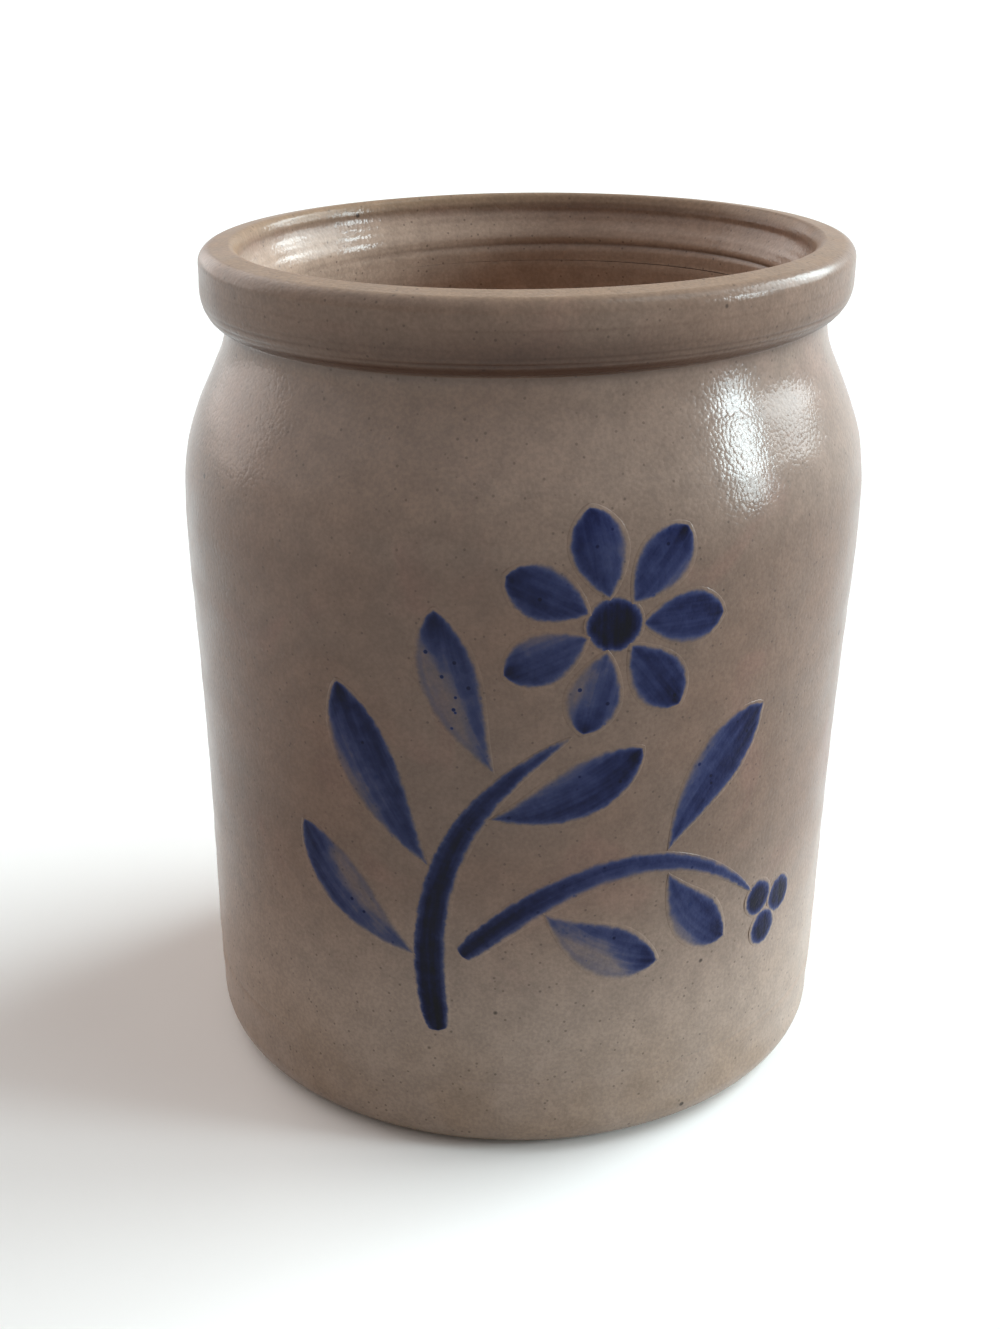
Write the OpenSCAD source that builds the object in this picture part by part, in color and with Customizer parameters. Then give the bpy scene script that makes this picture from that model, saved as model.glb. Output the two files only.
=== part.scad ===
// A wheel-thrown stoneware salt crock: a flat base, a wall with a rounded
// shoulder, a rolled rim, and a flower spray brushed on the front in cobalt slip.
// Millimetres, +Z up. The origin is the middle of the resting face.
// The front, with the spray, faces -Y.

/* [Wall] */
// Height of the crock, from the table to the top of the lip
pot_h = 151; // [128:1:180]
// Diameter at the widest place, the shoulder
belly_d = 122.4; // [112:0.2:140]
// Height of the widest place
belly_z = 102; // [88:1:112]
// Diameter of the wall just above the foot
foot_d = 117.4; // [100:0.2:130]
// Diameter of the neck in the crease under the rim
neck_d = 105.4; // [98:0.2:112]
// Thickness of the wall
wall_t = 5.2; // [4:0.1:7]

/* [Base] */
// Thickness of the clay under the crock's inside
floor_t = 7; // [5:0.5:10]
// Radius of the outside edge where the wall meets the resting face
foot_round = 6; // [2:0.5:9]
// Radius of the hollow between the inside floor and the wall
floor_fillet = 8; // [5:0.5:14]

/* [Rim] */
// How far the rolled band stands out from the neck
roll_out = 4.2; // [3:0.1:6]
// Height of the rolled band, from the crease to the top of the lip
rim_h = 12.8; // [11:0.2:16]
// Height of the rounded underside of the roll
roll_h = 6; // [3:0.2:7]
// Radius of the lip's outside edge
lip_round = 2.6; // [1:0.1:3.4]
// How far the lip falls from its inside edge to its outside edge
lip_fall = 0.4; // [0:0.1:1]
// How far the mouth stands out from the throat, the narrowest place inside
mouth_flare = 2.5; // [1:0.1:4]
// Radius of the lip's inside edge
mouth_round = 1.8; // [0.8:0.1:2.2]
// Height of the throat above the crease
throat_h = 3; // [1:0.2:5]

/* [Brushwork] */
// Thickness of the cobalt slip on the wall
slip_t = 0.25; // [0.1:0.05:0.5]
// Width of the flower spray, measured round the wall
spray_w = 100; // [90:1:110]
// Height of the flower spray, which its stem and blossom share
spray_h = 90; // [82:1:92]
// Turn of the spray's middle from the front, towards +X, in degrees
spray_turn = 7; // [-30:1:30]
// Width of the stem stroke
stem_w = 5.2; // [3.6:0.1:6]
// Width of the twig stroke
twig_w = 4.4; // [3:0.1:5.4]
// Width of a full leaf stroke
leaf_w = 10.5; // [8:0.1:11]
// Length of a full leaf stroke
leaf_l = 34; // [28:0.5:36]
// Sideways bend of a leaf stroke
leaf_bend = 3.4; // [1:0.2:5]
// Width of a petal stroke
petal_w = 8.6; // [6:0.1:9.4]
// Length of a petal stroke
petal_l = 14; // [10:0.5:15]
// Diameter of the blossom's eye
eye_d = 8.6; // [6:0.2:10]
// Diameter of a berry dot
berry_d = 6.4; // [4:0.2:6.8]
// Bare clay between two strokes that would meet
stroke_gap = 0.6; // [0.3:0.1:1.2]

/* [Hidden] */
$fn = 96;
belly_r = belly_d / 2;
foot_r = foot_d / 2;
neck_r = neck_d / 2;
rim_r = neck_r + roll_out;
throat_r = neck_r - wall_t;
mouth_r = throat_r + mouth_flare;
crease_z = pot_h - rim_h;
base_z = floor_t + floor_fillet;
throat_z = crease_z + throat_h;

// Bend of the wall's outline below and above its widest place
wall_ease_share = 1.3;
shoulder_ease_share = 1.6;
// Steps in an outline's long curves, its rounded edges, a brush stroke and a dot
curve_steps = 28;
edge_steps = 10;
stroke_steps = 14;
dot_steps = 32;
// Spare length of a cutting shape past what it cuts
overrun = 2;

// The tables below lay the spray out flat: across and up, as shares of its
// width and height, and a stroke's size as a share of a full one's.
// Stem and twig: where each starts, where it is pulled to and where it ends
stem_shares = [[-0.22, 0], [-0.29, 0.42], [0, 0.62]];
twig_shares = [[-0.175, 0.17], [0.12, 0.5], [0.38, 0.22]];
// Leaves: place along their line, side, length, width, and angle to the line
stem_leaf_shares = [
    [0.16, 1, 0.86, 0.92, 44],
    [0.42, 1, 1, 1, 42],
    [0.78, 1, 0.84, 0.9, 62],
    [0.62, -1, 0.8, 0.9, 34]
];
twig_leaf_shares = [
    [0.2, -1, 0.68, 0.9, 62],
    [0.6, 1, 0.84, 0.92, 58],
    [0.6, -1, 0.58, 0.84, 44]
];
// Middle of the blossom
blossom_share = [0.07, 0.835];
petal_count = 7;
berry_count = 3;
// Turn of the first petal from straight up, in degrees
petal_turn = 12;
// Where along a stroke it is fullest, and how blunt its ends are
line_swell_share = 0.45;
line_blunt_share = 0.5;
leaf_swell_share = 1.4;
leaf_blunt_share = 0.68;
petal_swell_share = 1.25;
petal_blunt_share = 0.6;

// The spray stands halfway between the foot's rounded edge and the crease
spray_top = blossom_share[1] * spray_h + eye_d / 2 + stroke_gap + petal_l;
spray_z = (foot_round + crease_z - spray_top) / 2;
// Reach of a brush stroke's cutting shape from the middle of the crock
brush_reach = max(belly_r, foot_r, neck_r) + slip_t + overrun;

stem_leaf_count = len(stem_leaf_shares);
twig_leaf_count = len(twig_leaf_shares);
leaf_count = stem_leaf_count + twig_leaf_count;
function numbered(name, count) = [for (i = [1 : count]) str(name, "_", i)];
leaf_names = numbered("leaf", leaf_count);
petal_names = numbered("petal", petal_count);
berry_names = numbered("berry", berry_count);

clay = [0.53, 0.47, 0.42];
lip_clay = [0.6, 0.51, 0.43];
cobalt = [0.15, 0.18, 0.36];

// Runs from 0 to 1 and starts and ends level
function ease(u, bend) = (1 - cos(180 * pow(u, bend))) / 2;

// Outside radius of the wall at a height from the foot's edge to the crease
function wall_r(z) = z < belly_z
    ? foot_r + (belly_r - foot_r) * ease((z - foot_round) / (belly_z - foot_round), wall_ease_share)
    : belly_r - (belly_r - neck_r) * ease((z - belly_z) / (crease_z - belly_z), shoulder_ease_share);

// Points up the wall's outside from low to high, moved outwards by out
function wall_points(low, high, out) = [
    for (i = [0 : curve_steps])
        let (z = low + (high - low) * i / curve_steps)
        [wall_r(z) + out, z]
];

// Points of a rounded edge about its middle, from angle a to angle b
function round_points(middle, across, up, a, b) = [
    for (i = [0 : edge_steps])
        let (angle = a + (b - a) * i / edge_steps)
        middle + [across * cos(angle), up * sin(angle)]
];

function backwards(points) = [for (i = [len(points) - 1 : -1 : 0]) points[i]];
function all_but_first(points) = [for (i = [1 : len(points) - 1]) points[i]];

// Base: the disc of clay under the wall, with the hollow round its inside
module base() {
    inside_r = wall_r(base_z) - wall_t;
    color(clay)
    rotate_extrude()
    polygon(concat(
        [[0, 0]],
        round_points([foot_r - foot_round, foot_round], foot_round, foot_round, -90, 0),
        all_but_first(wall_points(foot_round, base_z, 0)),
        round_points([inside_r - floor_fillet, base_z], floor_fillet, floor_fillet, 0, -90),
        [[0, floor_t]]
    ));
}

// Wall: from the base to the crease under the rim, of one thickness
module wall() {
    color(clay)
    rotate_extrude()
    polygon(concat(
        wall_points(base_z, crease_z, 0),
        backwards(wall_points(base_z, crease_z, -wall_t))
    ));
}

// Rim: the top of the wall rolled outwards into a rounded band
module rolled_rim() {
    edge_z = pot_h - lip_fall - lip_round;
    mouth_z = pot_h - mouth_round;
    throat_points = [
        for (i = [0 : edge_steps])
            let (u = i / edge_steps)
            [mouth_r - (mouth_r - throat_r) * ease(u, 1), mouth_z - (mouth_z - throat_z) * u]
    ];
    color(lip_clay)
    rotate_extrude()
    polygon(concat(
        [[throat_r, crease_z]],
        round_points([neck_r, crease_z + roll_h], rim_r - neck_r, roll_h, -90, 0),
        round_points([rim_r - lip_round, edge_z], lip_round, lip_round, 0, 90),
        round_points([mouth_r + mouth_round, mouth_z], mouth_round, mouth_round, 90, 180),
        all_but_first(throat_points)
    ));
}

// Place in the flat layout, and a smooth line through it with its direction
function laid(share) = [share[0] * spray_w, share[1] * spray_h];
function along(line, t) = (1 - t) * (1 - t) * line[0] + 2 * t * (1 - t) * line[1] + t * t * line[2];
function way(line, t) = unit((1 - t) * (line[1] - line[0]) + t * (line[2] - line[1]));
function unit(v) = v / norm(v);
function turned(v, angle) = [v[0] * cos(angle) - v[1] * sin(angle), v[0] * sin(angle) + v[1] * cos(angle)];

stem_line = [for (share = stem_shares) laid(share)];
twig_line = [for (share = twig_shares) laid(share)];

// Middle line of a leaf stroke, which starts beside its stem and bends away
function leaf_line(leaf, line, line_w) =
    let (leaf_way = turned(way(line, leaf[0]), leaf[1] * leaf[4]))
    let (start = along(line, leaf[0]) + leaf_way * (line_w / 2 / sin(leaf[4]) + stroke_gap))
    let (tip = start + leaf_way * leaf_l * leaf[2])
    [start, (start + tip) / 2 + turned(leaf_way, 90) * leaf_bend * leaf[1], tip];

// Middle line of a petal stroke, which starts beside the blossom's eye
function petal_line(number) =
    let (petal_way = turned([0, 1], petal_turn + 360 * number / petal_count))
    let (start = laid(blossom_share) + petal_way * (eye_d / 2 + stroke_gap))
    let (tip = start + petal_way * petal_l)
    [start, (start + tip) / 2, tip];

// Middle of a berry, one of a ring of touching dots past the twig's end
function berry_place(number) =
    let (twig_way = way(twig_line, 1))
    let (ring_r = (berry_d + stroke_gap) / 2 / sin(180 / berry_count))
    let (ring_middle = along(twig_line, 1) + twig_way * (ring_r + berry_d / 2 + stroke_gap))
    ring_middle + turned(-twig_way, 360 * number / berry_count) * ring_r;

// Half width of a stroke at t along it
function half_width(t, width, swell, blunt) = width / 2 * pow(max(0, sin(180 * pow(t, swell))), blunt);

// Both sides of a stroke along its middle line
function stroke_outline(line, width, swell, blunt) =
    let (steps = [for (i = [0 : stroke_steps]) i / stroke_steps])
    let (middles = [for (t = steps) along(line, t)])
    let (sides = [for (t = steps) turned(way(line, t), 90) * half_width(t, width, swell, blunt)])
    concat(
        [for (i = [0 : stroke_steps]) middles[i] + sides[i]],
        [for (i = [stroke_steps - 1 : -1 : 1]) middles[i] - sides[i]]
    );

// Angle round the pot of a distance across the flat layout
function round_angle(across) = across / belly_r * 180 / PI;

// Points up the crock's whole outside between the foot's edge and the crease
function outside_points(out) = concat(
    wall_points(foot_round, base_z, out),
    all_but_first(wall_points(base_z, crease_z, out))
);

// Skin of slip that lies on the whole outside
module slip_skin() {
    rotate_extrude()
    polygon(concat(outside_points(slip_t), backwards(outside_points(0))));
}

// Keeps the skin inside a flat outline, wrapped round the crock: seen square
// on from the direction of the distance across, each point of the outline
// lands at its own angle whatever the crock's radius there
module brushed(outline, across) {
    color(cobalt)
    intersection() {
        slip_skin();
        rotate([0, 0, spray_turn + round_angle(across)])
        rotate([90, 0, 0])
        linear_extrude(brush_reach)
        polygon([
            for (p = outline)
                let (z = spray_z + p[1])
                [wall_r(z) * sin(round_angle(p[0] - across)), z]
        ]);
    }
}

// A stroke of the brush along a middle line
module stroke(line, width, swell, blunt) {
    brushed(stroke_outline(line, width, swell, blunt), along(line, 1 / 2)[0]);
}

// A round dot of slip
module dot(place, width) {
    edge = [
        for (i = [1 : dot_steps])
            let (angle = 360 * i / dot_steps)
            place + [cos(angle), sin(angle)] * width / 2
    ];
    brushed(edge, place[0]);
}

// Stem: one long stroke, full at its foot and fine at its end
module stem() stroke(stem_line, stem_w, line_swell_share, line_blunt_share);

// Twig: a stroke that arches away from the stem
module twig() stroke(twig_line, twig_w, line_swell_share, line_blunt_share);

// Leaf: one pressed stroke, from a point to a round end
module leaf(number) {
    on_stem = number < stem_leaf_count;
    line = on_stem
        ? leaf_line(stem_leaf_shares[number], stem_line, stem_w)
        : leaf_line(twig_leaf_shares[number - stem_leaf_count], twig_line, twig_w);
    width = on_stem ? stem_leaf_shares[number][3] : twig_leaf_shares[number - stem_leaf_count][3];
    stroke(line, leaf_w * width, leaf_swell_share, leaf_blunt_share);
}

// Petal: a short pressed stroke that points away from the eye
module petal(number) stroke(petal_line(number), petal_w, petal_swell_share, petal_blunt_share);

// Eye of the blossom, and a berry
module blossom_eye() dot(laid(blossom_share), eye_d);
module berry(number) dot(berry_place(number), berry_d);

base();
wall();
rolled_rim();
stem();
twig();
blossom_eye();
for (i = [0 : leaf_count - 1])
    leaf(i);
for (i = [0 : petal_count - 1])
    petal(i);
for (i = [0 : berry_count - 1])
    berry(i);
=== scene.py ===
import math

import bpy
import numpy as np
from mathutils import Matrix, Vector


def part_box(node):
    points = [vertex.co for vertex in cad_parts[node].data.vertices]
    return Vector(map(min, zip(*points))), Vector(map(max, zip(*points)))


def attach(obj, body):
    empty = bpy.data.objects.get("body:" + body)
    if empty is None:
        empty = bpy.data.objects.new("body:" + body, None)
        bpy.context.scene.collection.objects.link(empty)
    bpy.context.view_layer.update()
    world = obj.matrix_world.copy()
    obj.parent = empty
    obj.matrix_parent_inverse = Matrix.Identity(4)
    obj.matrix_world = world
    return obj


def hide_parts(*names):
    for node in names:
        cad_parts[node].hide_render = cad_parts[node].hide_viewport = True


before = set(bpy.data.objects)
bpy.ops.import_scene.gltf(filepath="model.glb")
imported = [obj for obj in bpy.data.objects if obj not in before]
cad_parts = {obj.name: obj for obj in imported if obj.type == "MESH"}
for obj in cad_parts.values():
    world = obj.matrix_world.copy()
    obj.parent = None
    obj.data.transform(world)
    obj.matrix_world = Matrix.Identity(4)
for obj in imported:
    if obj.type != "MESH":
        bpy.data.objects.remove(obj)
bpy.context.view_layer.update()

MM = 0.001
PI2 = 2 * math.pi

# Sizes of the crock, the first ones read from its solids
BASE_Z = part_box("wall")[0].z / MM
CREASE_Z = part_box("rolled_rim")[0].z / MM
POT_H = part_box("rolled_rim")[1].z / MM
BELLY_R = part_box("wall")[1].x / MM
RIM_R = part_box("rolled_rim")[1].x / MM
BELLY_Z = 102.0
FOOT_R = 58.7
NECK_R = 52.7
WALL_T = 5.2
FLOOR_T = 7.0
FOOT_ROUND = 6.0
FLOOR_FILLET = 8.0
ROLL_H = 6.0
LIP_ROUND = 2.6
LIP_FALL = 0.4
MOUTH_ROUND = 1.8
MOUTH_FLARE = 2.5
THROAT_H = 3.0
WALL_BEND = 1.3
SHOULDER_BEND = 1.6
THROAT_R = NECK_R - WALL_T
MOUTH_R = THROAT_R + MOUTH_FLARE
CREASE_FILLET = 0.7
ROLL_OUT = RIM_R - NECK_R
CREASE_RISE = ROLL_H * (1 - math.sqrt(1 - (CREASE_FILLET / ROLL_OUT) ** 2))

# Sides of a turned outline
OUTSIDE = 1.0
INSIDE = -1.0
UNDERSIDE = 2.0

# Sizes of the flower spray
SPRAY_W = 100.0
SPRAY_H = 90.0
SPRAY_TURN = math.radians(7)
STEM_W = 5.2
TWIG_W = 4.4
LEAF_W = 10.5
LEAF_L = 34.0
LEAF_BEND = 3.4
PETAL_W = 8.6
PETAL_L = 14.0
EYE_D = 8.6
BERRY_D = 6.4
STROKE_GAP = 0.6
STEM_SHARES = [(-0.22, 0), (-0.29, 0.42), (0, 0.62)]
TWIG_SHARES = [(-0.175, 0.17), (0.12, 0.5), (0.38, 0.22)]
# Leaves: place along their line, side, length, width, and angle to the line
STEM_LEAVES = [
    (0.16, 1, 0.86, 0.92, 44),
    (0.42, 1, 1, 1, 42),
    (0.78, 1, 0.84, 0.9, 62),
    (0.62, -1, 0.8, 0.9, 34),
]
TWIG_LEAVES = [
    (0.2, -1, 0.68, 0.9, 62),
    (0.6, 1, 0.84, 0.92, 58),
    (0.6, -1, 0.58, 0.84, 44),
]
BLOSSOM_SHARE = (0.07, 0.835)
PETAL_COUNT = 7
BERRY_COUNT = 3
PETAL_TURN = 12
SPRAY_TOP = BLOSSOM_SHARE[1] * SPRAY_H + EYE_D / 2 + STROKE_GAP + PETAL_L
SPRAY_Z = (FOOT_ROUND + CREASE_Z - SPRAY_TOP) / 2


# Outline of the crock

def ease(u, bend):
    """Runs from 0 to 1 and starts and ends level."""
    return (1 - np.cos(math.pi * np.clip(u, 0, 1) ** bend)) / 2


def wall_r(z):
    """Outside radius of the wall at a height from the foot's edge to the crease."""
    low = FOOT_R + (BELLY_R - FOOT_R) * ease((z - FOOT_ROUND) / (BELLY_Z - FOOT_ROUND), WALL_BEND)
    high = BELLY_R - (BELLY_R - NECK_R) * ease((z - BELLY_Z) / (CREASE_Z - BELLY_Z), SHOULDER_BEND)
    return np.where(z < BELLY_Z, low, high)


def steps(start, end, step):
    """Evenly spaced values from start to end, about one step apart."""
    return np.linspace(start, end, max(2, round(abs(end - start) / step) + 1))


def arc(middle, across, up, start, end, step):
    """Points of a rounded edge about its middle, between two angles in degrees."""
    turn = np.radians(steps(start, end, math.degrees(step / max(across, up))))
    return middle[0] + across * np.cos(turn), middle[1] + up * np.sin(turn)


def stretch(r, z, side):
    """Rows of radius, height and side."""
    z = np.broadcast_to(np.asarray(z, float), np.shape(r))
    return np.column_stack([r, z, np.full(len(z), side)])


def base_outline():
    """From the middle of the underside, round the foot and back over the inside floor."""
    foot_edge = FOOT_R - FOOT_ROUND
    inside_r = wall_r(BASE_Z) - WALL_T
    up = steps(FOOT_ROUND, BASE_Z, 0.7)
    foot = arc((foot_edge, FOOT_ROUND), FOOT_ROUND, FOOT_ROUND, -90, 0, 0.6)
    fillet = arc((inside_r - FLOOR_FILLET, BASE_Z), FLOOR_FILLET, FLOOR_FILLET, 0, -90, 0.9)
    return np.vstack([
        stretch(steps(0, foot_edge, 1.5), 0, UNDERSIDE),
        stretch(*foot, OUTSIDE)[1:],
        stretch(wall_r(up), up, OUTSIDE)[1:],
        stretch(*fillet, INSIDE),
        stretch(steps(inside_r - FLOOR_FILLET, 0, 1.8), FLOOR_T, INSIDE)[1:],
    ])


def wall_outline():
    """Up the outside, with the glaze's small fillet in the crease, and down the inside."""
    up = steps(BASE_Z, CREASE_Z - CREASE_FILLET, 0.7)
    middle = (NECK_R + CREASE_FILLET, CREASE_Z - CREASE_FILLET)
    corner = arc(middle, CREASE_FILLET, CREASE_FILLET + CREASE_RISE, 180, 90, 0.2)
    down = np.concatenate([steps(CREASE_Z, BELLY_Z, 0.7), steps(BELLY_Z, BASE_Z, 1.7)[1:]])
    return np.vstack([
        stretch(wall_r(up), up, OUTSIDE),
        stretch(*corner, OUTSIDE)[1:],
        stretch(wall_r(down) - WALL_T, down, INSIDE),
    ])


def rim_outline():
    """The rolled band, the lip and the flare down to the throat."""
    start = -90 + math.degrees(math.asin(CREASE_FILLET / ROLL_OUT))
    edge_z = POT_H - LIP_FALL - LIP_ROUND
    mouth_z = POT_H - MOUTH_ROUND
    throat_z = CREASE_Z + THROAT_H
    down = steps(mouth_z, throat_z, 0.25)
    flare = ease((mouth_z - down) / (mouth_z - throat_z), 1)
    return np.vstack([
        stretch(*arc((NECK_R, CREASE_Z + ROLL_H), ROLL_OUT, ROLL_H, start, 0, 0.13), OUTSIDE),
        stretch(np.full(24, RIM_R), np.linspace(CREASE_Z + ROLL_H, edge_z, 24), OUTSIDE)[1:],
        stretch(*arc((RIM_R - LIP_ROUND, edge_z), LIP_ROUND, LIP_ROUND, 0, 90, 0.15), OUTSIDE)[1:],
        stretch(*arc((MOUTH_R + MOUTH_ROUND, mouth_z), MOUTH_ROUND, MOUTH_ROUND, 90, 180, 0.15), INSIDE),
        stretch(MOUTH_R - MOUTH_FLARE * flare, down, INSIDE)[1:],
        stretch(np.full(8, THROAT_R), np.linspace(throat_z, CREASE_Z, 8), INSIDE)[1:],
    ])


def outward(outline, closed):
    """Unit vectors that point out of the clay, square to the outline."""
    if closed:
        way = np.roll(outline, -1, 0) - np.roll(outline, 1, 0)
    else:
        way = np.gradient(outline, axis=0)
    way = way[:, :2]
    square = np.column_stack([way[:, 1], -way[:, 0]])
    return square / np.maximum(np.linalg.norm(square, axis=1), 1e-9)[:, None]


# Marks of the hand and the wheel

# The wall's slow swell: height, place of a crest, half a wave, and where it starts and ends
SWELL = 0.36
SWELL_CREST_Z = 22
SWELL_HALF_WAVE = 58
SWELL_START_H = 12
SWELL_END_Z = 80
SWELL_END_H = 30
INSET = 0.02
# Rings of the fingers: height, spacing and seed
OUTER_RINGS = ((0.030, 9, 3), (0.006, 2.6, 4))
INNER_RINGS = ((0.07, 4.2, 5), (0.03, 1.9, 6))
CALM_R = 9
# Lines of the rib round the rolled band: height on the crock and depth
RIB_LINES = ((139.3, 0.06), (140.3, 0.11), (141.6, 0.08), (142.9, 0.03), (145.6, 0.03))
RIB_LINE_W = 0.24
RIB_WANDER = 0.18
# The groove in the throat: depth, how much that changes round the crock, width and wander
THROAT_CUT = 0.18
THROAT_CUT_SWING = 0.14
THROAT_CUT_W = 0.45
THROAT_WANDER = 0.5
# How the crock stands: lean, tilts of the mouth and the crease, shrinkage and ovalness
LEAN = 1.29
TILT = 0.0127
CREASE_TILT = 0.0115
CREASE_TILT_H = 5
VISUAL_H = 0.995
OVAL = 0.0016


def ripple(z, angle, length, seed):
    """Uneven rings that climb slowly round the crock, about 1 high in all."""
    draw = np.random.default_rng(seed)
    total = np.zeros(np.broadcast(z, angle).shape)
    for _ in range(5):
        wave = PI2 / (length * draw.uniform(0.65, 1.5))
        total += np.sin(wave * z + draw.integers(-2, 3) * angle + draw.uniform(0, PI2))
    return total / 5 ** 0.5


def groove(z, place, width):
    """1 in the middle of a groove and 0 away from it."""
    return np.exp(-((z - place) / width) ** 2)


def band_lines(z, angle):
    """Fine lines that the rib left round the lower half of the rolled band."""
    total = np.zeros(np.broadcast(z, angle).shape)
    for place, depth in RIB_LINES:
        faint = 0.6 + 0.4 * np.sin(2.3 * place + 2 * angle) * np.sin(5 * angle + place)
        total += depth * faint * groove(z, place + RIB_WANDER * np.sin(angle + place), RIB_LINE_W)
    return total


def throat_line(z, angle):
    """The groove inside the rim, deepest at the right."""
    place = CREASE_Z + THROAT_H + THROAT_WANDER * np.sin(angle - 0.4)
    depth = THROAT_CUT + THROAT_CUT_SWING * np.sin(angle)
    return depth * groove(z, place, THROAT_CUT_W)


def rings(path, angle, kinds):
    """Several ripples on top of each other."""
    return sum(height * ripple(path, angle, spacing, seed) for height, spacing, seed in kinds)


def relief(r, z, angle, side):
    """How far the surface stands out from the plain outline."""
    swell = SWELL * np.cos(math.pi * (z - SWELL_CREST_Z) / SWELL_HALF_WAVE)
    swell = swell * (1 - ease((z - SWELL_END_Z) / SWELL_END_H, 1))
    swell = np.where(z > FOOT_ROUND, swell * ease((z - FOOT_ROUND) / SWELL_START_H, 1), 0)
    outside = swell - INSET + rings(z, angle, OUTER_RINGS) - band_lines(z, angle)
    path = z + np.where(z < FLOOR_T + FLOOR_FILLET, THROAT_R - r, 0)
    inside = rings(path, angle, INNER_RINGS) * ease(r / CALM_R, 1) - throat_line(z, angle)
    return np.select([side == OUTSIDE, side == INSIDE], [outside, inside], 0.0)


def settle(r, z, angle):
    """The lean, tilt and slightly oval mouth of a crock thrown by hand."""
    share = z / POT_H
    r = r * (1 - OVAL * share * (1 + np.cos(2 * angle + 0.9)))
    x = r * np.sin(angle)
    y = -r * np.cos(angle)
    high = z * VISUAL_H + x * TILT * share ** 2
    high = high + x * CREASE_TILT * groove(z, CREASE_Z, CREASE_TILT_H)
    return x + LEAN * (share - BELLY_Z / POT_H), y, high


# Brush strokes, laid out flat: across and up from the foot of the stem

LINE_POINTS = 61
START_REACH = 0.16
END_REACH = 0.14
LEAF_LOADS = (0.02, 0.25)
LEAF_HEAVY = (-0.4, 0.4)
PETAL_LOADS = (0.05, 0.36)
BERRY_LOADS = (0.4, 0.9)


def laid(share):
    return np.array([share[0] * SPRAY_W, share[1] * SPRAY_H])


def along(line, t):
    t = np.asarray(t, float)[..., None]
    return (1 - t) ** 2 * line[0] + 2 * t * (1 - t) * line[1] + t ** 2 * line[2]


def way(line, t):
    d = (1 - t) * (line[1] - line[0]) + t * (line[2] - line[1])
    return d / np.linalg.norm(d)


def turned(v, degrees):
    c, s = math.cos(math.radians(degrees)), math.sin(math.radians(degrees))
    return np.array([v[0] * c - v[1] * s, v[0] * s + v[1] * c])


def leaf_line(leaf, line, line_w):
    place, side, length, _, angle = leaf
    leaf_way = turned(way(line, place), side * angle)
    start = along(line, place) + leaf_way * (line_w / 2 / math.sin(math.radians(angle)) + STROKE_GAP)
    tip = start + leaf_way * LEAF_L * length
    return [start, (start + tip) / 2 + turned(leaf_way, 90) * LEAF_BEND * side, tip]


def petal_line(number):
    petal_way = turned((0, 1), PETAL_TURN + 360 * number / PETAL_COUNT)
    start = laid(BLOSSOM_SHARE) + petal_way * (EYE_D / 2 + STROKE_GAP)
    tip = start + petal_way * PETAL_L
    return [start, (start + tip) / 2, tip]


def berry_place(number, line):
    twig_way = way(line, 1)
    ring_r = (BERRY_D + STROKE_GAP) / 2 / math.sin(math.pi / BERRY_COUNT)
    middle = along(line, 1) + twig_way * (ring_r + BERRY_D / 2 + STROKE_GAP)
    return middle + turned(-twig_way, 360 * number / BERRY_COUNT) * ring_r


class Stroke:
    """One pull of the brush: its middle line, width, and how loaded the brush was."""

    def __init__(self, line, width, swell, blunt, load, start=0.0, end=0.0, heavy=0.0):
        self.line = [np.asarray(p, float) for p in line]
        self.width, self.swell, self.blunt = width, swell, blunt
        self.load, self.start, self.end, self.heavy = load, start, end, heavy

    def half_width(self, t):
        return self.width / 2 * np.maximum(0, np.sin(math.pi * t ** self.swell)) ** self.blunt

    def read(self, places):
        """Depth inside the stroke's edge, load of slip, and place along and across it."""
        t = np.linspace(0, 1, LINE_POINTS)
        points = along(self.line, t)
        gap = np.linalg.norm(places[:, None] - points[None], axis=2)
        near = gap.argmin(1)
        best = t[near]
        ways = np.gradient(points, axis=0)
        ways /= np.linalg.norm(ways, axis=1)[:, None]
        off = places - points[near]
        forward = (off * ways[near]).sum(1)
        length = np.linalg.norm(np.diff(points, axis=0), axis=1).sum()
        best = np.clip(best + forward / length, 0, 1)
        across = ways[near, 0] * off[:, 1] - ways[near, 1] * off[:, 0]
        apart = np.linalg.norm(places - along(self.line, best), axis=1)
        depth = self.half_width(best) - apart
        load = self.load + self.heavy * across / self.width
        load = load + self.start * np.exp(-best / START_REACH)
        load = load + self.end * np.exp(-(1 - best) / END_REACH)
        return depth, load, best * length, across

    def widened(self, margin):
        """The middle line, made longer by the margin at both ends."""
        start = self.line[0] - way(self.line, 0) * margin
        tip = self.line[2] + way(self.line, 1) * margin
        return start, self.line[1], tip


class Dot(Stroke):
    """One touch of the loaded brush."""

    def __init__(self, middle, width, load):
        middle = np.asarray(middle, float)
        arm = np.array([width / 2, 0])
        super().__init__([middle - arm, middle, middle + arm], width, swell=1.0, blunt=0.45, load=load)
        self.middle = middle

    def read(self, places):
        off = places - self.middle
        depth = self.width / 2 - np.linalg.norm(off, axis=1)
        return depth, np.full(len(off), self.load), off[:, 1], off[:, 0]


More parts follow.
